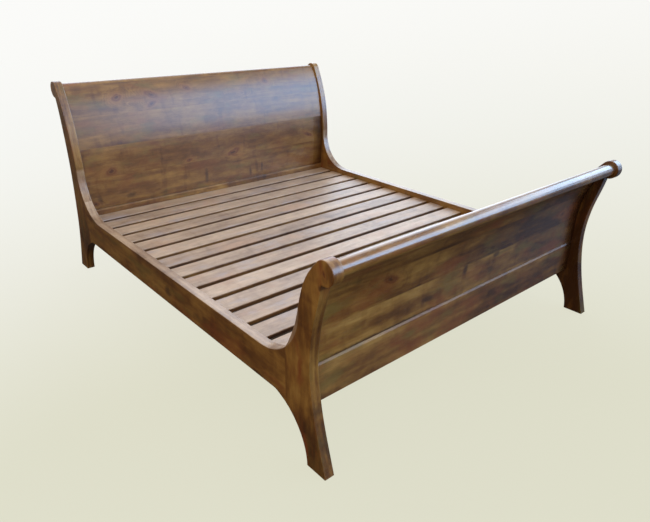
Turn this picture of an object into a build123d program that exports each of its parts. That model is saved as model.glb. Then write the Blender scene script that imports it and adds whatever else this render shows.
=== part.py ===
from build123d import *
from math import cos, radians, sin
import os

# Sleigh bed in stained timber: four curved posts, swept side rails, curved end boards between
# them, round top rails, and a slatted base on ledgers, a centre beam and three legs.
# Millimetres. +Z up, X across the bed, the foot end at -Y and the head end at +Y.
# The origin is on the floor under the middle of the whole bed.

# Driving dimensions
overall_width = 1940
overall_length = 2460
board = 45                      # thickness of posts and side rails, flush with each other
half_width = overall_width / 2
inner_x = half_width - board    # inner face of posts and rails

scroll_radius = 45              # rounded head of each post
roll_radius = 30                # round top rail between the post heads
spigot_radius = 15
spigot_length = 25
scroll_overhang = 24            # the foot scroll passes the toe by this much
toe_y = -overall_length / 2 + scroll_overhang
heel_y = overall_length / 2

foot_scroll = (21, 823)         # distance in from the toe, height
head_scroll = (51, 1105)        # distance in from the heel, height
foot_seam = 228                 # where the side rail meets the foot post
head_seam = 261                 # where the side rail meets the head post

rail_bottom = 240
rail_top = 397
rail_sweep = 240                # radius where the rail top runs up into a post
foot_sweep_in = 390             # where that curve starts, in from the toe
head_sweep_in = 448             # and in from the heel
arch_radius = 260               # under the rail, between the leg and the rail bottom
arch_in = 364
arch_drop = -11
kink_radius = 50                # where the arch breaks away from the straight rail bottom

panel = 22                      # thickness of the curved boards
panel_steps = 12                # places where the boards' faces are set off from their middle line
groove_depth = 12
groove_play = 0.5
tongue = 12                     # below the lowest board, down into the end rail
tongue_shoulder = 7
tongue_share = 0.03             # how far up the middle line the tongue sits
end_rail_top = 400
end_rail_bottom = 234
foot_rail_face = 134            # outer face, in from the toe
foot_rail = 30
head_rail_face = 185            # inner face, in from the heel
head_rail = 33
end_rail_tenon = 25             # its length, then its shoulders in thickness and in height
tenon_cheek = 8
tenon_shoulder = 25
end_rail_chamfer = (9, 6)        # down the face, then into the top
shadow_gap = 4                  # reveal between an end rail and its curved boards
hidden_share = 0.04             # part of the middle line below the top of an end rail

slat_top = 364
slat = 20
slat_width = 109
slat_pitch = 140.9
slat_count = 15
slat_play = 2
slat_start = heel_y - 187       # head edge of the first slat
ledger_width = 30
ledger_height = 40
ledger_play = 2
slat_screw = (2.2, 45)          # radius, length
ledger_screw = (2.5, 60)

beam_width = 45
beam_height = 70
leg_side = 60
leg_chamfer = 5
leg_places = (-470, 0, 470)
leg_bolt_radius = 5
leg_bolt_half = 45
hanger = 5                      # steel thickness of the beam hangers
hanger_half_width = 55
hanger_height = 62
hanger_cheek = 50               # height and depth of the two cheeks that hold the beam
hanger_screw_x = 40
hanger_screw_heights = (10, 50)
hanger_screw = (3, 20, 6, 3)    # shank radius and length, head radius and height

plate_length = 120
plate_height = 54
plate = 4
plate_bottom = 246
plate_corner = 6
bolt = (4, 36, 8, 5)            # shank radius and length in the timber, head radius and height
bolt_shift = 40                 # along the plate, either side of the seam
bolt_edge = 15                  # in from the plate's long edges

dowel_radius = 6
dowel_length = 60
dowel_heights = (275, 330, 385)
hole_play = 0.1

eased = 3                       # rounding on the long edges of the timber


def across(face, x_low, x_high):
    """Stand a (y, z) outline upright and extrude it from x_low to x_high."""
    return extrude(Plane.YZ.offset(x_low) * face, x_high - x_low)


def block(x, y, z):
    """A box from three (low, high) pairs."""
    pairs = (x, y, z)
    middle = [(high + low) / 2 for low, high in pairs]
    return Pos(*middle) * Box(*[high - low for low, high in pairs])


def rod_x(y, z, radius, x_low, x_high):
    return Pos((x_low + x_high) / 2, y, z) * Rot(0, 90, 0) * Cylinder(radius, x_high - x_low)


def rod_y(x, z, radius, y_low, y_high):
    return Pos(x, (y_low + y_high) / 2, z) * Rot(90, 0, 0) * Cylinder(radius, y_high - y_low)


def rod_z(x, y, radius, z_low, z_high):
    return Pos(x, y, (z_low + z_high) / 2) * Cylinder(radius, z_high - z_low)


def screw(radius, length, play=0):
    """A countersunk screw with its head at the origin and its point down."""
    grown = radius + play
    shank = Pos(0, 0, -length / 2) * Cylinder(grown, length)
    cone = Pos(0, 0, -radius / 2) * Cone(grown, 2 * radius + play, radius)
    return shank + cone


def on_circle(centre, radius, degrees):
    angle = radians(degrees)
    return centre[0] + radius * cos(angle), centre[1] + radius * sin(angle)


def sweep_height(inward, sweep_in):
    """Height of the curve that carries a rail top up into a post."""
    return rail_top + rail_sweep - (rail_sweep**2 - (sweep_in - inward) ** 2) ** 0.5


def arch_height(inward):
    """Height of the arch between a leg and the rail bottom."""
    return arch_drop + (arch_radius**2 - (arch_in - inward) ** 2) ** 0.5


def arch_inward(height):
    return arch_in - (arch_radius**2 - (height - arch_drop) ** 2) ** 0.5


def foot_end(points):
    """Turn (distance in from the toe, height) into (y, z)."""
    return [(toe_y + inward, height) for inward, height in points]


def head_end(points):
    """Turn (distance in from the heel, height) into (y, z)."""
    return [(heel_y - inward, height) for inward, height in points]


# Outlines, as (distance in from toe or heel, height)
leg_outer = [(0, 0), (30, 100), (62, 217), (85, 340)]   # the legs splay out to the toe and the heel
foot_front = leg_outer + [(93, 448), (88, 530), (75, 610), (53, 695)]
foot_back = [(foot_seam, sweep_height(foot_seam, foot_sweep_in)), (200, 510), (172, 575), (152, 655),
             (127, 745), (93, 808)]
head_back = leg_outer + [(96, 450), (107, 640), (101, 780), (86, 920), (70, 1015)]
sweep_end = head_sweep_in - rail_sweep                  # where the rail's upward curve stands vertical
head_front = [(sweep_end, rail_top + rail_sweep), (203, 735), (188, 850), (160, 957), (125, 1050)]

# Middle lines of the curved boards, from below their end rail's top up into the roll.
foot_line = [(145, 380), (147, 460), (146, 531), (138, 604), (121, 677), (92, 745), (43, 803)]
head_line = [(172, 380), (176, 500), (179, 625), (174, 752), (156, 876), (123, 998), (67, 1115)]


def leg_arch(end, low, high):
    """Arch between two distances in from the toe or heel."""
    middle = arch_inward((arch_height(low) + arch_height(high)) / 2)
    return ThreePointArc(*end([(inward, arch_height(inward)) for inward in (low, middle, high)]))


def rail_curve(end, low, high, sweep_in):
    """Upward curve of a rail top between two distances in from the toe or heel."""
    places = (low, (low + high) / 2, high)
    return ThreePointArc(*end([(inward, sweep_height(inward, sweep_in)) for inward in places]))


def foot_post_outline():
    centre = foot_end([foot_scroll])[0]
    notch = on_circle(centre, scroll_radius, -73)
    crest = on_circle(centre, scroll_radius, 42)
    falling = (sin(radians(42)), -cos(radians(42)))
    low, high = foot_end([(foot_seam, arch_height(foot_seam)), foot_back[0]])
    return make_face([
        Spline(*foot_end(foot_front), notch),
        ThreePointArc(notch, on_circle(centre, scroll_radius, 180), crest),
        Spline(crest, *reversed(foot_end(foot_back)), tangents=[falling, (1, -1.5)]),
        Line(high, low),
        leg_arch(foot_end, foot_seam, arch_inward(0)),
        Line((toe_y + arch_inward(0), 0), (toe_y, 0)),
    ])


def head_post_outline():
    centre = head_end([head_scroll])[0]
    notch = on_circle(centre, scroll_radius, -98)
    crest = on_circle(centre, scroll_radius, 152)
    falling = (-sin(radians(28)), -cos(radians(28)))
    low, high = head_end([(head_seam, arch_height(head_seam)),
                          (head_seam, sweep_height(head_seam, head_sweep_in))])
    return make_face([
        Spline(*head_end(head_back), notch),
        ThreePointArc(notch, on_circle(centre, scroll_radius, 27), crest),
        Spline(crest, *reversed(head_end(head_front)), tangents=[falling, (0, -1)]),
        rail_curve(head_end, sweep_end, head_seam, head_sweep_in),
        Line(high, low),
        leg_arch(head_end, head_seam, arch_inward(0)),
        Line((heel_y - arch_inward(0), 0), (heel_y, 0)),
    ])


def rail_outline():
    """Side rail between its two seams, with its widened, swept ends."""
    straight_in = arch_inward(rail_bottom)
    foot_low, foot_high = foot_end([(foot_seam, arch_height(foot_seam)), foot_back[0]])
    head_low, head_high = head_end([(head_seam, arch_height(head_seam)),
                                    (head_seam, sweep_height(head_seam, head_sweep_in))])
    outline = make_face([
        Line(foot_low, foot_high),
        rail_curve(foot_end, foot_seam, foot_sweep_in, foot_sweep_in),
        Line((toe_y + foot_sweep_in, rail_top), (heel_y - head_sweep_in, rail_top)),
        rail_curve(head_end, head_sweep_in, head_seam, head_sweep_in),
        Line(head_high, head_low),
        leg_arch(head_end, head_seam, straight_in),
        Line((heel_y - straight_in, rail_bottom), (toe_y + straight_in, rail_bottom)),
        leg_arch(foot_end, straight_in, foot_seam),
    ])
    kinks = [point for point in outline.vertices() if abs(point.Y - rail_bottom) < 1]
    return fillet(kinks, kink_radius)


def ease(part, seams):
    """Round the outline's edges on both faces, but not at the floor or at a seam."""
    sharp = []
    for edge in part.edges():
        middle = edge.center()
        at_seam = any(abs(middle.Y - seam) < 1 for seam in seams)
        if abs(edge.tangent_at(0.5).X) < 0.5 and not at_seam and middle.Z > 1:
            sharp.append(edge)
    return fillet(sharp, eased)


def curved_panel(end, line, thickness, reach):
    """The end board as one curved slab, upright ends at x = -reach and reach."""
    middle = Spline(*end(line))
    steps = [step / panel_steps for step in range(panel_steps + 1)]
    sides = []
    for side in (-1, 1):
        points = []
        for step in steps:
            along = middle.tangent_at(step)
            points.append(middle.position_at(step) + Vector(-along.Y, along.X) * side * thickness / 2)
        sides.append(points)
    low, high = sides
    outline = make_face([Spline(*low), Line(low[-1], high[-1]), Spline(*high), Line(high[0], low[0])])
    slab = across(outline, -reach, reach)
    start = middle.position_at(0).X
    foot = block((-reach, reach), (start - 2 * thickness, start + 2 * thickness),
                 (end_rail_bottom, end_rail_top + shadow_gap))
    y = middle.position_at(tongue_share).X
    half = thickness / 2 - tongue_shoulder
    key = block((-reach, reach), (y - half, y + half), (end_rail_top - tongue, end_rail_top + shadow_gap + 1))
    return (slab - foot) + key


def curved_boards(end, line, count):
    """The curved slab sawn into boards, square to its curve, lowest first."""
    middle = Spline(*end(line))
    rest = curved_panel(end, line, panel, inner_x + groove_depth)
    boards = []
    for place in range(1, count):
        share = hidden_share + (1 - hidden_share) * place / count
        point, along = middle.position_at(share), middle.tangent_at(share)
        cut = Plane(origin=(0, point.X, point.Y), x_dir=(1, 0, 0), z_dir=(0, along.X, along.Y))
        boards.append(split(rest, bisect_by=cut, keep=Keep.BOTTOM))
        rest = split(rest, bisect_by=cut, keep=Keep.TOP)
    return boards + [rest]


def end_rail(y_low, y_high):
    """A plain rail between two posts, chamfered along its top foot-side edge, a tenon at each end."""
    rail = block((-inner_x, inner_x), (y_low, y_high), (end_rail_bottom, end_rail_top))
    top_edges = rail.edges().filter_by(Axis.X).sort_by(Axis.Z)[-2:]
    face = rail.faces().sort_by(Axis.Y)[0]
    rail = chamfer(top_edges.sort_by(Axis.Y)[0], *end_rail_chamfer, reference=face)
    return rail + end_rail_tenons(y_low, y_high, 0)


def end_rail_tenons(y_low, y_high, play):
    reach = inner_x + end_rail_tenon
    return block((-reach, reach), (y_low + tenon_cheek - play, y_high - tenon_cheek + play),
                 (end_rail_bottom + tenon_shoulder - play, end_rail_top - tenon_shoulder + play))


def roll(end, scroll):
    """Round rail between two post heads, with a spigot at each end."""
    y, z = end([scroll])[0]
    return rod_x(y, z, roll_radius, -inner_x, inner_x) + roll_spigots(end, scroll, 0)


def roll_spigots(end, scroll, play):
    y, z = end([scroll])[0]
    reach = inner_x + spigot_length
    return rod_x(y, z, spigot_radius + play, -reach, reach)


# Places worked out from the dimensions
foot_rail_y = (toe_y + foot_rail_face, toe_y + foot_rail_face + foot_rail)
head_rail_y = (heel_y - head_rail_face, heel_y - head_rail_face + head_rail)
seam_ys = (toe_y + foot_seam, heel_y - head_seam)
slat_ys = [slat_start - slat_width / 2 - place * slat_pitch for place in range(slat_count)]
slat_low = slat_top - slat
ledger_low = slat_low - ledger_height
screw_x = inner_x - ledger_width / 2
bolt_places = [(shift, plate_bottom + rise) for shift in (-bolt_shift, bolt_shift)
               for rise in (bolt_edge, plate_height - bolt_edge)]
beam_low = slat_low - beam_height
beam_y = (foot_rail_y[1] + hanger, head_rail_y[0] - hanger)


def seam_dowels(seam, play):
    """Dowels across one seam of the left side."""
    x = -half_width + board / 2
    half = dowel_length / 2 + play
    return [rod_y(x, z, dowel_radius + play, seam - half, seam + half) for z in dowel_heights]


def plate_bolt(y, z, play):
    """A bolt through a joining plate of the left side, point towards -X."""
    face = -inner_x + plate
    radius, length, head_radius, head_height = bolt
    shank = rod_x(y, z, radius + play, -inner_x - length - play, face + 1)
    return shank + rod_x(y, z, head_radius, face, face + head_height)


def plate_bolts(seam, play=0):
    return [plate_bolt(seam + shift, z, play) for shift, z in bolt_places]


def side_screws(play=0):
    """Screws that hold the left ledger to its rail, one in every other gap between slats."""
    turned = Rot(0, 90, 0) * screw(*ledger_screw, play)
    x, z = -inner_x + ledger_width, ledger_low + ledger_height / 2
    return [Pos(x, y - slat_pitch / 2, z) * turned for y in slat_ys[1:-1:2]]


def slat_screws(play=0):
    """Screws down through the slats into the left ledger."""
    return [Pos(-screw_x, y, slat_top) * screw(*slat_screw, play) for y in slat_ys]


def post(outline, seam):
    """The left post of one end, before its joints are cut."""
    solid = ease(across(outline, -half_width, -inner_x), [seam])
    return solid - seam_dowels(seam, hole_play) - plate_bolts(seam, hole_play)


def foot_post():
    solid = post(foot_post_outline(), seam_ys[0])
    solid -= curved_panel(foot_end, foot_line, panel + 2 * groove_play, inner_x + groove_depth)
    solid -= end_rail_tenons(*foot_rail_y, groove_play)
    return solid - roll_spigots(foot_end, foot_scroll, hole_play)


def head_post():
    solid = post(head_post_outline(), seam_ys[1])
    solid -= curved_panel(head_end, head_line, panel + 2 * groove_play, inner_x + groove_depth)
    solid -= end_rail_tenons(*head_rail_y, groove_play)
    return solid - roll_spigots(head_end, head_scroll, hole_play)


def side_rail():
    solid = ease(across(rail_outline(), -half_width, -inner_x), seam_ys)
    for seam in seam_ys:
        solid = solid - seam_dowels(seam, hole_play) - plate_bolts(seam, hole_play)
    return solid - side_screws(hole_play)


def joining_plate(seam):
    solid = block((-inner_x, -inner_x + plate), (seam - plate_length / 2, seam + plate_length / 2),
                  (plate_bottom, plate_bottom + plate_height))
    solid = fillet(solid.edges().filter_by(Axis.X), plate_corner)
    return solid - [rod_x(seam + shift, z, bolt[0] + hole_play, -inner_x - 1, -inner_x + plate + 1)
                    for shift, z in bolt_places]


def ledger():
    solid = block((-inner_x, -inner_x + ledger_width),
                  (foot_rail_y[1] + ledger_play, head_rail_y[0] - ledger_play), (ledger_low, slat_low))
    return solid - side_screws(hole_play) - slat_screws(hole_play)


def slatted(y):
    reach = inner_x - slat_play
    solid = block((-reach, reach), (y - slat_width / 2, y + slat_width / 2), (slat_low, slat_top))
    solid = fillet(solid.edges().filter_by(Axis.X), eased)
    hole = Pos(0, y, slat_top) * screw(*slat_screw, hole_play)
    return solid - Pos(-screw_x, 0, 0) * hole - Pos(screw_x, 0, 0) * hole


def hanger_rods(radius, y_low, y_high):
    """Four rods at the screw places of a beam hanger."""
    return [rod_y(x, beam_low + rise, radius, y_low, y_high)
            for x in (-hanger_screw_x, hanger_screw_x) for rise in hanger_screw_heights]


def ordered(face, inward, start, end):
    """Low and high y of something that runs from start to end in front of an end rail's inner face."""
    return sorted((face + inward * start, face + inward * end))


def beam_hanger(face, inward):
    """Folded steel hanger on an end rail's inner face. inward is +1 at the foot end and -1 at the head."""
    half = beam_width / 2
    outer = half + hanger
    cheek_y = ordered(face, inward, 0, hanger_cheek)
    solid = block((-hanger_half_width, hanger_half_width), ordered(face, inward, 0, hanger),
                  (beam_low - hanger, beam_low + hanger_height))
    solid += block((-outer, outer), cheek_y, (beam_low - hanger, beam_low))
    for x in ((-outer, -half), (half, outer)):
        solid += block(x, cheek_y, (beam_low - hanger, beam_low + hanger_cheek))
    return solid - hanger_rods(hanger_screw[0] + hole_play, *ordered(face, inward, -1, hanger + 1))


def hanger_screws(face, inward):
    radius, length, head_radius, head_height = hanger_screw
    shanks = hanger_rods(radius, *ordered(face, inward, -length, hanger))
    heads = hanger_rods(head_radius, *ordered(face, inward, hanger, hanger + head_height))
    return [shank + head for shank, head in zip(shanks, heads)]


def leg_bolt(y, play=0):
    half = leg_bolt_half + play
    return rod_z(0, y, leg_bolt_radius + play, beam_low - half, beam_low + half)


def centre_leg(y):
    half = leg_side / 2
    solid = block((-half, half), (y - half, y + half), (0, beam_low))
    solid = chamfer(solid.edges().filter_by(Axis.Z), leg_chamfer)
    return solid - leg_bolt(y, hole_play)


def save(name, *solids):
    """Write one node. Several separate solids become one group."""
    found = [piece for solid in solids for piece in solid.solids()]
    export_step(found[0] if len(found) == 1 else Compound(children=found), f"parts/{name}.step")


def save_pair(name, solid):
    save(f"{name}_left", solid)
    save(f"{name}_right", mirror(solid, Plane.YZ))


def both_sides(pieces):
    return pieces + [mirror(piece, Plane.YZ) for piece in pieces]


os.makedirs("parts", exist_ok=True)

save_pair("foot_post", foot_post())
save_pair("head_post", head_post())
save_pair("side_rail", side_rail())
save_pair("slat_ledger", ledger())
save_pair("joining_plate_foot", joining_plate(seam_ys[0]))
save_pair("joining_plate_head", joining_plate(seam_ys[1]))

foot_slot = curved_panel(foot_end, foot_line, panel + 2 * groove_play, inner_x + groove_depth)
head_slot = curved_panel(head_end, head_line, panel + 2 * groove_play, inner_x + groove_depth)
hole = (hanger_screw[0] + hole_play, -hanger_screw[1] - hole_play, 1)
foot_holes = hanger_rods(hole[0], *ordered(foot_rail_y[1], 1, *hole[1:]))
head_holes = hanger_rods(hole[0], *ordered(head_rail_y[0], -1, *hole[1:]))

save("footboard_roll", roll(foot_end, foot_scroll) - foot_slot)
save("footboard_bottom_rail", end_rail(*foot_rail_y) - foot_slot - foot_holes)
for place, timber in enumerate(curved_boards(foot_end, foot_line, 3), 1):
    save(f"footboard_board_{place}", timber)

save("headboard_roll", roll(head_end, head_scroll) - head_slot)
save("headboard_bottom_rail", end_rail(*head_rail_y) - head_slot - head_holes)
for place, timber in enumerate(curved_boards(head_end, head_line, 4), 1):
    save(f"headboard_board_{place}", timber)

for place, y in enumerate(slat_ys, 1):
    save(f"slat_{place:02d}", slatted(y))

beam = block((-beam_width / 2, beam_width / 2), beam_y, (beam_low, slat_low))
save("centre_beam", beam - [leg_bolt(y, hole_play) for y in leg_places])
save("beam_hanger_foot", beam_hanger(foot_rail_y[1], 1))
save("beam_hanger_head", beam_hanger(head_rail_y[0], -1))
for place, y in enumerate(leg_places, 1):
    save(f"centre_leg_{place}", centre_leg(y))

save("rail_dowels", *both_sides([dowel for seam in seam_ys for dowel in seam_dowels(seam, 0)]))
save("plate_bolts", *both_sides([bolt for seam in seam_ys for bolt in plate_bolts(seam)]))
save("ledger_screws", *both_sides(side_screws()))
save("slat_screws", *both_sides(slat_screws()))
save("hanger_screws", *hanger_screws(foot_rail_y[1], 1), *hanger_screws(head_rail_y[0], -1))
save("leg_bolts", *[leg_bolt(y) for y in leg_places])
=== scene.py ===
import bpy
import math
from mathutils import Matrix, Vector


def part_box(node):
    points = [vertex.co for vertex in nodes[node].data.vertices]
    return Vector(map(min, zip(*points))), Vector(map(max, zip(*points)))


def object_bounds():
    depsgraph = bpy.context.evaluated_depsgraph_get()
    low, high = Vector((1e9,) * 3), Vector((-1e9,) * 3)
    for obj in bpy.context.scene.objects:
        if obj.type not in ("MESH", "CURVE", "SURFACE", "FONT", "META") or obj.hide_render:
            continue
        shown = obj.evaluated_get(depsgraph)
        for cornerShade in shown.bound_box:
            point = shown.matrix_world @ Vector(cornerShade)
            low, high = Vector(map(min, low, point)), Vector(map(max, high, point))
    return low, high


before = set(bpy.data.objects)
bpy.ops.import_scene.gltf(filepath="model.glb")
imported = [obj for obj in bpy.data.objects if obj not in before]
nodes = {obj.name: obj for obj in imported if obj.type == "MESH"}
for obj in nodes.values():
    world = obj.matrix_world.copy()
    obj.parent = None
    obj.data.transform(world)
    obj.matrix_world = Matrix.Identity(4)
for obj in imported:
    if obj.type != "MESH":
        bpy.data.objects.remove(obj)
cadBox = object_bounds()
print("frame loaded,", len(nodes), "nodes")

# Camera: place in metres, heading and tilt in degrees, lens in millimetres
cameraSetup = {"place": (-1.994, -2.364, 1.578), "heading": -41.10, "tilt": -24.48, "roll": 0.72,
               "lens": 31.55, "sensor": 36.0}

# Walnut stain, as linear colours; burnt also paints the shade in corners and gaps
stain = {
    "deep": (0.058, 0.0200, 0.0055),
    "brown": (0.145, 0.056, 0.0110),
    "honey": (0.255, 0.118, 0.0240),
    "gold": (0.380, 0.205, 0.0500),
    "red": (0.185, 0.046, 0.0110),
    "olive": (0.135, 0.088, 0.0190),
    "burnt": (0.030, 0.0100, 0.0045),
    "scorched": (0.125, 0.035, 0.0090),
    "ember": (0.240, 0.090, 0.0210),
}
warmShades = [(0.08, stain["deep"]), (0.36, stain["brown"]), (0.62, stain["honey"]), (0.95, stain["gold"])]
# Pale, greyer shades painted on the top faces of slats, rails and posts: a painted sheen
sheenShades = [(0.08, (0.165, 0.090, 0.048)), (0.36, (0.320, 0.204, 0.123)), (0.62, (0.450, 0.305, 0.193)),
              (0.95, (0.590, 0.420, 0.275))]


# A shader socket that can stand in a sum
class Wire:
    def __init__(self, tree, socket=None):
        self.tree = tree
        self.socket = socket

    # Any node: settings first, then the values or links of its sockets
    def node(self, kind, settings=None, inputs=None, output=0):
        made = self.tree.nodes.new("ShaderNode" + kind)
        for name, value in (settings or {}).items():
            if name == "stops":
                setStops(made.color_ramp, value)
            else:
                setattr(made, name, value)
        for name, value in (inputs or {}).items():
            if isinstance(value, Wire):
                self.tree.links.new(value.socket, made.inputs[name])
            else:
                made.inputs[name].default_value = value
        return Wire(self.tree, made.outputs[output])

    def math(self, operation, first, second=0.0):
        return self.node("Math", {"operation": operation}, {0: first, 1: second})

    def __add__(self, other):
        return self.math("ADD", self, other)

    def __sub__(self, other):
        return self.math("SUBTRACT", self, other)

    def __rsub__(self, other):
        return self.math("SUBTRACT", other, self)

    def __mul__(self, other):
        return self.math("MULTIPLY", self, other)

    def __truediv__(self, other):
        return self.math("DIVIDE", self, other)

    def __pow__(self, other):
        return self.math("POWER", self, other)

    __radd__ = __add__
    __rmul__ = __mul__

    def larger(self, other):
        return self.math("MAXIMUM", self, other)

    def rounded(self):
        return self.math("ROUND", self)

    def split(self):
        return [self.node("SeparateXYZ", None, {0: self}, place) for place in range(3)]

    def join(self, x, y, z):
        return self.node("CombineXYZ", None, {0: x, 1: y, 2: z})

    def stretched(self, x, y, z):
        return self.node("VectorMath", {"operation": "MULTIPLY"}, {0: self, 1: (x, y, z)})

    def shifted(self, x, y, z):
        return self.node("VectorMath", {"operation": "ADD"}, {0: self, 1: (x, y, z)})

    def ramp(self, low, high, start=0.0, end=1.0):
        limits = {"Value": self, "From Min": low, "From Max": high, "To Min": start, "To Max": end}
        return self.node("MapRange", {"interpolation_type": "SMOOTHSTEP"}, limits)

    def noise(self, scale, detail=2.0, roughness=0.5):
        sockets = {"Vector": self, "Scale": scale, "Detail": detail, "Roughness": roughness}
        return self.node("TexNoise", None, sockets)

    def lineNoise(self, detail=2.0, roughness=0.5):
        sockets = {"W": self, "Scale": 1.0, "Detail": detail, "Roughness": roughness}
        return self.node("TexNoise", {"noise_dimensions": "1D"}, sockets)

    def shades(self, stops):
        return self.node("ValToRGB", {"stops": stops}, {0: self})

    # Colours meet here; factor is a number or a Wire
    def blend(self, first, second, factor):
        colours = [value if isinstance(value, Wire) else (*value, 1.0) for value in (first, second)]
        return self.node("Mix", {"data_type": "RGBA"}, {0: factor, 6: colours[0], 7: colours[1]}, 2)


def setStops(colourRamp, stops):
    while len(colourRamp.elements) < len(stops):
        colourRamp.elements.new(1.0)
    for element, (place, colour) in zip(colourRamp.elements, stops):
        element.position = place
        element.color = (*colour, 1.0)


def distance(first, second):
    return (first * first + second * second) ** 0.5


def newMaterial(name):
    material = bpy.data.materials.new(name)
    material.use_nodes = True
    material.node_tree.nodes.clear()
    return material, Wire(material.node_tree)


def finishMaterial(wire, shader):
    output = wire.tree.nodes.new("ShaderNodeOutputMaterial")
    wire.tree.links.new(shader.socket, output.inputs["Surface"])


def paint(names, material):
    for name in names:
        slots = nodes[name].data.materials
        slots.clear()
        slots.append(material)


# Noise in the wood: its stretch along and across the grain, and, where set, the span in use and an offset
grainNoise = {
    "bend": {"stretch": (1.3, 3.6), "detail": 2.0, "roughness": 0.5},
    "ripple": {"stretch": (6.0, 16.0), "detail": 2.0, "roughness": 0.5},
    "fibre": {"stretch": (10.0, 260.0), "detail": 2.0, "roughness": 0.6},
    "streak": {"stretch": (2.4, 44.0), "detail": 3.0, "roughness": 0.6, "span": (0.25, 0.75)},
    "flame": {"stretch": (19.0, 5.0), "detail": 2.0, "roughness": 0.55, "span": (0.54, 0.74)},
    "pores": {"stretch": (26.0, 900.0), "detail": 1.0, "roughness": 0.5, "span": (0.60, 0.72)},
    "clouds": {"stretch": (3.6, 8.0), "detail": 4.0, "roughness": 0.62, "span": (0.28, 0.72)},
    "mottle": {"stretch": (16.0, 34.0), "detail": 3.0, "roughness": 0.6, "span": (0.28, 0.72)},
    "patches": {"stretch": (3.6, 8.5), "detail": 4.0, "roughness": 0.6, "shift": (7.0, 3.0, 1.0)},
    "smudges": {"stretch": (4.4, 12.0), "detail": 4.0, "roughness": 0.62, "shift": (2.0, 9.0, 4.0)},
}

# The curve that carries each rail top up into its posts: rise is from the slats to the rail top, and the
# centres lie inwards from the foot and head ends of the bed
sweep = {"radius": 0.240, "rise": 0.033, "fromFoot": 0.414, "fromHead": 0.448}
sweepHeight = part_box("slat_01")[1].z + sweep["rise"] + sweep["radius"]
footSweep = cadBox[0][1] + sweep["fromFoot"]
headSweep = cadBox[1][1] - sweep["fromHead"]

# How every board starts out. Pith is the heart of the tree (across, depth, slope), tone the overall shade,
# figure to mottle the strength of each pattern, red and olive the uneven stain
base = {
    "grain": "x", "seed": 1.0, "pith": (0.0, -0.12, 0.0), "bend": 0.09, "rings": 48.0,
    "tone": 0.0, "paintedFalloff": (0.0, 0.0), "shades": warmShades,
    "figure": 0.20, "fibre": 0.17, "streak": 0.18, "flame": 0.12, "cloud": 0.42, "mottle": 0.16,
    "red": 0.6, "patch": stain["red"], "olive": 0.6, "smudge": stain["olive"],
    "rough": 0.30, "coat": 0.8, "coatRough": 0.24,
    "knots": [], "eyes": [], "marksAndShade": [],
    "footDarkening": 0.0, "dullFoot": False, "cornerShade": 0.0, "sweep": 0.0,
}
middleTone = 0.377


def grainFields(grain):
    fields = {}
    for name, setup in grainNoise.items():
        along, across = setup["stretch"]
        place = grain.stretched(along, across, across)
        if "shift" in setup:
            place = place.shifted(*setup["shift"])
        value = place.noise(1.0, setup["detail"], setup["roughness"])
        fields[name] = value.ramp(*setup["span"]) if "span" in setup else value
    return fields


# Growth rings, drawn round each knot. Gives the rings, then the heart, rim and halo of the knots
def growthRings(look, along, across, depth, fields, wobble):
    bend = fields["bend"] - 0.5
    ripple = fields["ripple"] - 0.5
    pithAcross, pithDepth, slope = look["pith"]
    ringAcross = across + bend * look["bend"] + ripple * 0.012 - pithAcross - along * slope
    rings = distance(ringAcross, depth + bend * 0.05 - pithDepth)
    heart, rim, halo = 0.0, 0.0, 0.0
    for place, (knotAlong, knotAcross, size) in enumerate(look["knots"]):
        slant = math.sin(place * 2.4 + look["seed"]) * 0.9
        crosswise = (across - knotAcross) / size + wobble * 1.5
        lengthwise = (along - knotAlong) / (1.5 * size) + crosswise * slant
        away = distance(lengthwise, crosswise) + wobble * 0.9
        near = away.ramp(0.8, 3.6, 0.75, 0.0)
        rings = rings * (1.0 - near) + (away * (size * 0.5) + 0.21) * near
        heart = away.ramp(0.15, 0.85, 1.0, 0.0).larger(heart)
        rim = (away.ramp(0.45, 0.8) * away.ramp(0.8, 1.5, 1.0, 0.0)).larger(rim)
        halo = away.ramp(0.7, 3.0, 1.0, 0.0).larger(halo)
    for eyeAlong, eyeAcross, halfLength, halfHeight in look["eyes"]:  # long closed rings of flat-sawn grain
        lengthwise = (along - eyeAlong) / halfLength
        crosswise = (across - eyeAcross) / halfHeight + ripple * 0.5
        away = distance(lengthwise, crosswise) + wobble * 0.15
        near = away.ramp(1.0, 3.0, 1.0, 0.0)
        rings = rings * (1.0 - near) + (away * 0.045 + 0.5) * near
    return rings, heart, rim, halo


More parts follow.
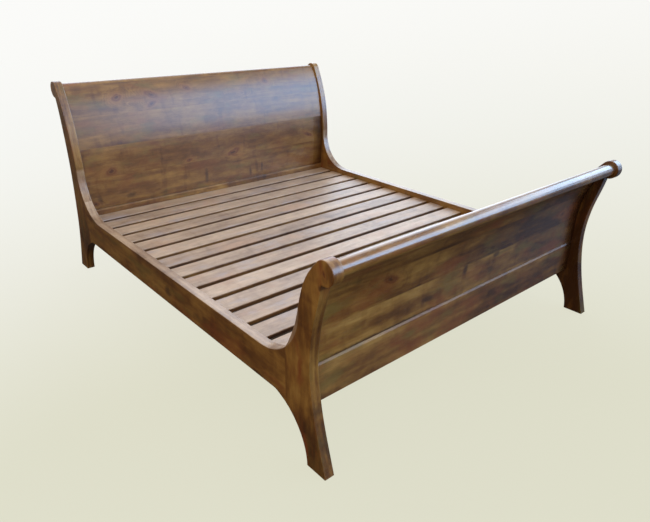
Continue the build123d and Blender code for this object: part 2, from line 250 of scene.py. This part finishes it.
# Stained and lacquered timber. The grain runs along one axis of the bed
def timber(name, look):
    material, start = newMaterial(name)
    x, y, z = start.node("TexCoord", None, None, "Object").split()
    along, across, depth = {"x": (x, z, y), "y": (y, z, x), "z": (z, y, x)}[look["grain"]]
    seed = look["seed"]
    if "pitch" in look:  # a row of like pieces, each with its own stretch of grain
        number = ((y - look["first"]) / look["pitch"]).rounded()
        pieceShade = (number * 0.731 + seed).lineNoise(0.0)
        along = along + number * 3.17
        across = across + number * 0.37
    grain = start.join(along, across, depth).shifted(seed * 2.3, seed * 1.1, seed * 0.7)
    fields = grainFields(grain)
    wobble = grain.noise(30.0, 3.0, 0.6) - 0.5
    rings, heart, rim, halo = growthRings(look, along, across, depth, fields, wobble)
    figure = (rings * look["rings"] + seed * 5.0).lineNoise(3.0, 0.62).ramp(0.28, 0.72)

    average = (look["figure"] + look["streak"] + look["cloud"] + look["mottle"]) / 2
    tone = figure * look["figure"] + fields["fibre"] * look["fibre"] + fields["streak"] * look["streak"]
    tone = tone + fields["clouds"] * look["cloud"] + fields["mottle"] * look["mottle"]
    tone = tone - fields["flame"] * look["flame"] + (look["tone"] + middleTone - average)
    if "pitch" in look:
        tone = tone + (pieceShade - 0.5) * 0.4
    if look["footDarkening"]:  # darker foot of a leg
        tone = tone - z.ramp(0.15, 0.24, look["footDarkening"], 0.0)
    if any(look["paintedFalloff"]):  # painted shade that changes evenly along X and Z, standing in for light falling off
        tone = tone + x * look["paintedFalloff"][0] + (z - 0.55) * look["paintedFalloff"][1]

    colour = tone.shades(look["shades"])
    colour = start.blend(colour, look["patch"], fields["patches"].ramp(0.50, 0.68, 0.0, look["red"]))
    colour = start.blend(colour, look["smudge"], fields["smudges"].ramp(0.52, 0.70, 0.0, look["olive"]))
    if "pitch" in look:  # painted sheen: the tops are painted pale, the sides keep the darker stain
        dark = (tone - 0.12).shades(warmShades)
        colour = start.blend(dark, colour, z.ramp(look["top"] - 0.007, look["top"] - 0.001))
    if look["sweep"]:  # painted sheen: tops of rails and posts, along the sweep that joins them, painted pale as if catching light from above
        beyond = (footSweep - y).larger(y - headSweep).larger(0.0)
        topSheenMask = (distance(beyond, sweepHeight - z) - sweep["radius"]).ramp(0.0005, 0.0035, 1.0, 0.0)
        colour = start.blend(colour, (tone - 0.06).shades(sheenShades), topSheenMask * look["sweep"])
    colour = start.blend(colour, stain["burnt"], fields["pores"] * 0.25)
    for markAlong, markAcross, halfLength, halfHeight, darkness in look["marksAndShade"]:  # dark smears under the lacquer, and painted shade where a mark stands for it
        away = distance((along - markAlong) / halfLength, (across - markAcross) / halfHeight) + wobble * 1.2
        colour = start.blend(colour, stain["burnt"], away.ramp(0.3, 1.3, darkness, 0.0))
    if look["cornerShade"]:  # painted shade at the end beside the right post
        colour = start.blend(colour, stain["burnt"], x.ramp(0.80, 0.925, 0.0, look["cornerShade"]))
    height = fields["fibre"] * 0.30 + figure * 0.25 - fields["pores"] * 0.6 + (fields["ripple"] - 0.5) * 1.6
    if look["knots"]:
        colour = start.blend(colour, stain["ember"], halo * 0.50)
        colour = start.blend(colour, stain["scorched"], rim.larger(heart) * 0.9)
        colour = start.blend(colour, stain["burnt"], heart * 0.6)
        height = height - rim * 0.5

    roughness = fields["fibre"] * 0.10 + fields["clouds"] * 0.08 + fields["pores"] * 0.12 + look["rough"]
    coat = look["coat"]
    if look["dullFoot"]:
        coat = z.ramp(0.60, 0.72, coat * 0.05, coat)
    # In the painted shade beside the right post the coat is thinner and the roughness lower
    if look["cornerShade"]:
        coat = x.ramp(0.80, 0.925, coat, coat * 0.1)
        roughness = roughness * x.ramp(0.78, 0.90, 1.0, 0.4)
    bump = start.node("Bump", None, {"Strength": 0.35, "Distance": 0.0012, "Height": height})
    shader = start.node("BsdfPrincipled", None, {
        "Base Color": colour, "Roughness": roughness, "IOR": 1.36, "Coat Weight": coat,
        "Coat Roughness": look["coatRough"], "Coat IOR": 1.5, "Normal": bump})
    finishMaterial(start, shader)
    return material


def steel(name, look):
    material, start = newMaterial(name)
    place = start.node("TexCoord", None, None, "Object")
    smear = place.noise(160.0, 3.0, 0.6)
    grains = place.noise(1400.0, 2.0)
    colour = start.blend(look["colour"], look["worn"], smear.ramp(0.45, 0.75, 0.0, 1.0))
    bump = start.node("Bump", None, {"Strength": look["bump"], "Distance": 0.0002, "Height": grains})
    shader = start.node("BsdfPrincipled", None, {
        "Base Color": colour, "Roughness": smear * 0.2 + look["roughness"], "Metallic": look["metal"],
        "Normal": bump})
    finishMaterial(start, shader)
    return material


# Knots are (along, across, radius). Eyes are (along, across, half length, half height), and so are marks,
# with their darkness; some marks are painted shade
headKnots = [(-0.64, 1.04, 0.018), (-0.42, 1.04, 0.020), (-0.43, 0.985, 0.014), (-0.17, 1.06, 0.014),
             (-0.76, 0.62, 0.020), (-0.23, 0.61, 0.011), (0.45, 1.06, 0.015), (0.785, 0.65, 0.016),
             (0.11, 0.61, 0.022), (-0.88, 0.435, 0.012)]
footKnots = [(-0.55, 0.635, 0.020), (0.74, 0.60, 0.013)]
headEyes = [(-0.17, 1.0, 0.18, 0.020)]
headMarks = [(-0.11, 0.48, 0.016, 0.050, 0.6), (0.35, 0.47, 0.008, 0.045, 0.6),
             (0.25, 0.45, 0.012, 0.035, 0.6), (-0.65, 0.45, 0.035, 0.020, 0.6),
             (-0.85, 0.455, 0.020, 0.030, 0.6)]
# The last foot mark is a painted shadow: the shadow gap above the bottom rail
footMarksAndShadow = [(-0.05, 0.52, 0.015, 0.040, 0.7), (0.18, 0.53, 0.030, 0.018, 0.7),
             (-0.30, 0.46, 0.040, 0.015, 0.7), (-0.58, 0.404, 0.42, 0.012, 0.8)]
# The first foot post mark is painted shade in the notch under the scroll
footPostMarksAndShade = [(0.766, -1.170, 0.012, 0.011, 0.72), (0.262, -1.160, 0.035, 0.050, 0.62),
                 (0.12, -1.225, 0.150, 0.035, 0.55)]
railMarks = [(-0.05, 0.305, 0.034, 0.026, 0.72), (-0.79, 0.246, 0.045, 0.012, 0.72)]

# The two sides of the bed differ: the right foot post is painted darker, as painted shade, and dull below
# its scroll
sides = {
    "left": {"seed": 3.0, "footPost": {"red": 1.0, "olive": 0.4}},
    "right": {"seed": 5.0, "footPost": {"tone": -0.28, "red": 0.3, "rough": 0.20, "dullFoot": True}},
}


def finishTimber(names, materialName, look):
    paint(names, timber(materialName, {**base, **look}))


def boardPith(low, high, depth, number):
    return (low.z + high.z) / 2, depth, 0.02 * (-1) ** number


def knotsWithin(knots, low, high):
    return [knot for knot in knots if low.z - 0.03 < knot[1] < high.z + 0.03]


def paintSides():
    for side, setup in sides.items():
        seed = setup["seed"]
        # Posts and rails get a painted sheen on their tops along the sweep
        # The head posts get painted shade, darker towards the bottom
        finishTimber([f"head_post_{side}"], f"headPost{side.title()}", {
            "grain": "z", "seed": seed, "pith": (1.02, 0.10, 0.0), "paintedFalloff": (0.0, 0.28), "sweep": 0.5})
        finishTimber([f"foot_post_{side}"], f"footPost{side.title()}", {
            "grain": "z", "seed": seed + 0.6, "pith": (-1.1, 0.10, 0.0), "cloud": 0.48, "footDarkening": 0.12,
            "sweep": 0.7, "knots": [(0.822, -1.185, 0.006)], "marksAndShade": footPostMarksAndShade, **setup["footPost"]})
        finishTimber([f"side_rail_{side}"], f"sideRail{side.title()}", {
            "grain": "y", "seed": seed + 1.2, "pith": (0.30, 0.06, 0.01), "tone": 0.035, "sweep": 0.85,
            "marksAndShade": railMarks})


def paintEnds():
    for number in range(1, 5):
        board = f"headboard_board_{number}"
        low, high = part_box(board)
        # The lowest two head boards get painted shade at their end beside the right post
        finishTimber([board], f"headBoard{number}", {
            "seed": 7.0 + number * 1.3, "pith": boardPith(low, high, 1.2, number),
            "knots": knotsWithin(headKnots, low, high), "eyes": headEyes if number == 4 else [],
            "marksAndShade": headMarks if number == 1 else [], "cornerShade": 0.75 if number < 3 else 0.0,
            "tone": -0.02, "figure": 0.16, "streak": 0.11, "cloud": 0.27, "mottle": 0.12, "red": 0.30,
            "olive": 0.5})
    for number, tone in ((1, -0.05), (2, -0.16), (3, -0.14)):
        board = f"footboard_board_{number}"
        low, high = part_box(board)
        # Each foot board gets painted shade, darker towards +X, and painted shade at its end beside the
        # right post
        finishTimber([board], f"footBoard{number}", {
            "seed": 17.0 + number * 1.3, "pith": boardPith(low, high, -1.2, number),
            "knots": knotsWithin(footKnots, low, high), "marksAndShade": footMarksAndShadow if number == 1 else [],
            "cornerShade": 0.9, "tone": tone, "paintedFalloff": (-0.26, 0.0), "cloud": 0.36})
    lowRail = {"cloud": 0.38, "rough": 0.46, "coat": 0.25, "coatRough": 0.45}
    finishTimber(["headboard_bottom_rail"], "headBottomRail", {**lowRail, "seed": 23.0, "red": 0.2})
    # The foot bottom rail gets painted shade, darker towards +X and at its end beside the right post
    finishTimber(["footboard_bottom_rail"], "footBottomRail", {
        **lowRail, "seed": 25.0, "tone": -0.08, "paintedFalloff": (-0.25, 0.0), "cornerShade": 0.8})
    finishTimber(["headboard_roll"], "headRoll", {"seed": 27.0, "tone": 0.02})
    # The foot roll gets painted shade, darker towards +X
    finishTimber(["footboard_roll"], "footRoll", {
        "seed": 29.0, "paintedFalloff": (-0.10, 0.0), "rough": 0.22, "coat": 1.0, "coatRough": 0.15})


def paintSlatBase():
    slats = sorted(name for name in nodes if name.startswith("slat_") and name[-2:].isdigit())
    first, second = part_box(slats[0]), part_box(slats[1])
    # The slat tops carry a painted sheen over the stain
    finishTimber(slats, "slatTimber", {
        "seed": 31.0, "top": first[1].z, "first": (first[0].y + first[1].y) / 2,
        "pitch": first[0].y - second[0].y, "shades": sheenShades, "patch": (0.430, 0.235, 0.125),
        "smudge": (0.330, 0.262, 0.245), "tone": 0.02, "figure": 0.16, "cloud": 0.28, "red": 0.55,
        "rough": 0.45, "coat": 1.0, "coatRough": 0.42})
    finishTimber(["slat_ledger_left", "slat_ledger_right", "centre_beam"], "baseTimber", {
        "grain": "y", "seed": 37.0, "tone": 0.05})
    finishTimber(["centre_leg_1", "centre_leg_2", "centre_leg_3"], "legTimber", {
        "grain": "z", "seed": 39.0, "tone": 0.05})
    finishTimber(["rail_dowels"], "dowelTimber", {"grain": "y", "seed": 41.0, "tone": 0.4})


def paintSteel():
    black = steel("blackSteel", {
        "colour": (0.012, 0.012, 0.012), "worn": (0.03, 0.03, 0.03), "roughness": 0.42, "metal": 0.0,
        "bump": 0.3})
    zinc = steel("zincSteel", {
        "colour": (0.62, 0.61, 0.58), "worn": (0.45, 0.44, 0.42), "roughness": 0.28, "metal": 1.0,
        "bump": 0.1})
    paint([name for name in nodes if name.startswith(("joining_plate", "beam_hanger"))], black)
    paint([name for name in nodes if name.endswith(("bolts", "screws"))], zinc)


paintSides()
paintEnds()
paintSlatBase()
paintSteel()
print("timber and steel finished")


# Studio: a pale floor that fades into a pale dome; only the camera sees them
studio = {
    "near": (0.730, 0.723, 0.584), "far": (0.965, 0.965, 0.945),
    "shade": (0.045, 0.034, 0.026), "reach": 60.0,
}


def cameraOnly(thing):
    for flag in ("visible_diffuse", "visible_glossy", "visible_transmission", "visible_shadow",
                 "visible_volume_scatter"):
        setattr(thing, flag, False)


# One shade for floor and dome, paler the further from the camera's foot and the higher
def backdropColour(start, x, y, z):
    heading = math.radians(cameraSetup["heading"])
    px, py, pz = cameraSetup["place"]
    aside = (x - px) * math.cos(heading) + (y - py) * math.sin(heading)
    away = distance(x - px, y - py)
    fade = ((aside * 0.16 + pz - z) / away.larger(0.6)).ramp(-0.10, 0.73, 1.0, 0.0)
    return start.blend(studio["near"], studio["far"], fade)


def buildFloor():
    bpy.ops.mesh.primitive_circle_add(vertices=96, radius=studio["reach"], fill_type="NGON")
    floor = bpy.context.object
    floor.name = "studioFloor"
    material, start = newMaterial("paleFloor")
    x, y, z = start.node("TexCoord", None, None, "Object").split()
    colour = backdropColour(start, x, y, z)
    # Painted shadow on the floor under the bed, dark through the gaps between the slats
    shade = x.ramp(-0.74, -0.54) * x.ramp(0.40, 0.90, 1.0, 0.0)
    shade = shade * y.ramp(-0.74, -0.54) * y.ramp(0.50, 1.05, 1.0, 0.0)
    colour = start.blend(colour, studio["shade"], shade)
    matte = start.node("BsdfDiffuse", None, {"Color": colour})
    plain = start.node("Emission", None, {"Color": colour})
    finishMaterial(start, start.node("MixShader", None, {
        0: distance(x, y).ramp(3.0, 15.0, 0.05, 0.0), 1: plain, 2: matte}))
    floor.data.materials.append(material)
    cameraOnly(floor)


def buildDome():
    bpy.ops.mesh.primitive_uv_sphere_add(segments=64, ring_count=32, radius=studio["reach"] - 0.5)
    dome = bpy.context.object
    dome.name = "studioDome"
    material, start = newMaterial("paleDome")
    x, y, z = start.node("TexCoord", None, None, "Object").split()
    finishMaterial(start, start.node("Emission", None, {"Color": backdropColour(start, x, y, z)}))
    dome.data.materials.append(material)
    cameraOnly(dome)


# Softboxes: azimuth from +X towards +Y and elevation in degrees, distance, width and height in metres
softboxes = {
    "leftFill": {"azimuth": 200, "elevation": 42, "away": 6.5, "width": 7.0, "height": 4.5,
                 "radiance": 1.45, "colour": (1.0, 0.93, 0.84)},
    "overhead": {"azimuth": 0, "elevation": 90, "away": 4.5, "width": 4.5, "height": 4.5,
                 "radiance": 0.9, "colour": (1.0, 0.97, 0.93)},
    "footLamp": {"azimuth": 232, "elevation": 12, "away": 4.3, "width": 1.3, "height": 1.3,
                 "radiance": 3.0, "colour": (1.0, 0.86, 0.68)},
}

# Wide soft glows of the surrounding light: azimuth, half width and softness in degrees, then the heights
# (as sines) where the glow starts, is full, starts to fall and is gone
glows = {
    "haze": {"azimuth": -20, "half": 16, "soft": 14, "rise": (-0.60, -0.42), "fall": (-0.05, 0.10),
             "radiance": 0.19, "colour": (0.55, 0.80, 1.20)},
    "horizon": {"azimuth": -16, "half": 20, "soft": 9, "rise": (-0.18, -0.02), "fall": (0.30, 0.42),
                "radiance": 0.75, "colour": (0.70, 0.88, 1.16)},
    "window": {"azimuth": -49, "half": 14, "soft": 12, "rise": (0.00, 0.10), "fall": (0.42, 0.66),
               "radiance": 7.2, "colour": (0.48, 0.78, 1.24)},
    "skylight": {"azimuth": -14, "half": 26, "soft": 8, "rise": (0.22, 0.34), "fall": (0.50, 0.62),
                 "radiance": 6.0, "colour": (0.64, 0.88, 1.20)},
    "far": {"azimuth": 57, "half": 28, "soft": 12, "rise": (-0.42, -0.20), "fall": (0.70, 0.95),
            "radiance": 2.4, "colour": (0.86, 0.97, 1.14)},
}
ground, zenith = (0.035, 0.028, 0.022), (0.50, 0.49, 0.48)


def buildLights():
    aim = Vector((0.0, 0.0, 0.5))
    for name, box in softboxes.items():
        azimuth, elevation = math.radians(box["azimuth"]), math.radians(box["elevation"])
        outward = Vector((math.cos(azimuth) * math.cos(elevation), math.sin(azimuth) * math.cos(elevation),
                          math.sin(elevation)))
        bpy.ops.object.light_add(type="AREA", location=aim + outward * box["away"])
        light = bpy.context.object
        light.name = name
        light.rotation_euler = outward.to_track_quat("Z", "Y").to_euler()
        light.data.shape = "RECTANGLE"
        light.data.size = box["width"]
        light.data.size_y = box["height"]
        light.data.energy = box["radiance"] * math.pi * box["width"] * box["height"]
        light.data.color = box["colour"]


def buildSky():
    world = bpy.data.worlds.new("softSky")
    bpy.context.scene.world = world
    world.use_nodes = True
    world.node_tree.nodes.clear()
    start = Wire(world.node_tree)
    x, y, z = start.node("TexCoord", None, None, "Generated").split()
    flat = distance(x, y)
    sky = start.blend(ground, zenith, z.ramp(-0.20, 0.05))
    for glow in glows.values():
        azimuth = math.radians(glow["azimuth"])
        facing = (x * math.cos(azimuth) + y * math.sin(azimuth)) / flat.larger(0.02)
        outer, inner = [math.cos(math.radians(glow["half"] + side * glow["soft"])) for side in (1, -1)]
        mask = facing.ramp(outer, inner) * z.ramp(*glow["rise"]) * z.ramp(*glow["fall"], 1.0, 0.0)
        sky = start.blend(sky, [glow["radiance"] * part for part in glow["colour"]], mask)
    background = start.node("Background", None, {"Color": sky, "Strength": 1.0})
    output = world.node_tree.nodes.new("ShaderNodeOutputWorld")
    world.node_tree.links.new(background.socket, output.inputs["Surface"])


def buildCamera():
    heading, tilt, roll = (math.radians(cameraSetup[key]) for key in ("heading", "tilt", "roll"))
    ahead = Vector((-math.sin(heading) * math.cos(tilt), math.cos(heading) * math.cos(tilt), math.sin(tilt)))
    right = Vector((math.cos(heading), math.sin(heading), 0.0))
    up = right.cross(ahead)
    right, up = (right * math.cos(roll) + up * math.sin(roll), up * math.cos(roll) - right * math.sin(roll))
    turn = Matrix((right, up, -ahead)).transposed().to_4x4()
    bpy.ops.object.camera_add()
    camera = bpy.context.object
    camera.matrix_world = Matrix.Translation(cameraSetup["place"]) @ turn
    camera.data.lens = cameraSetup["lens"]
    camera.data.sensor_width = cameraSetup["sensor"]
    bpy.context.scene.camera = camera


buildFloor()
buildDome()
buildLights()
buildSky()
buildCamera()
bpy.context.scene.view_settings.view_transform = "Standard"
print("studio, lights and camera placed")
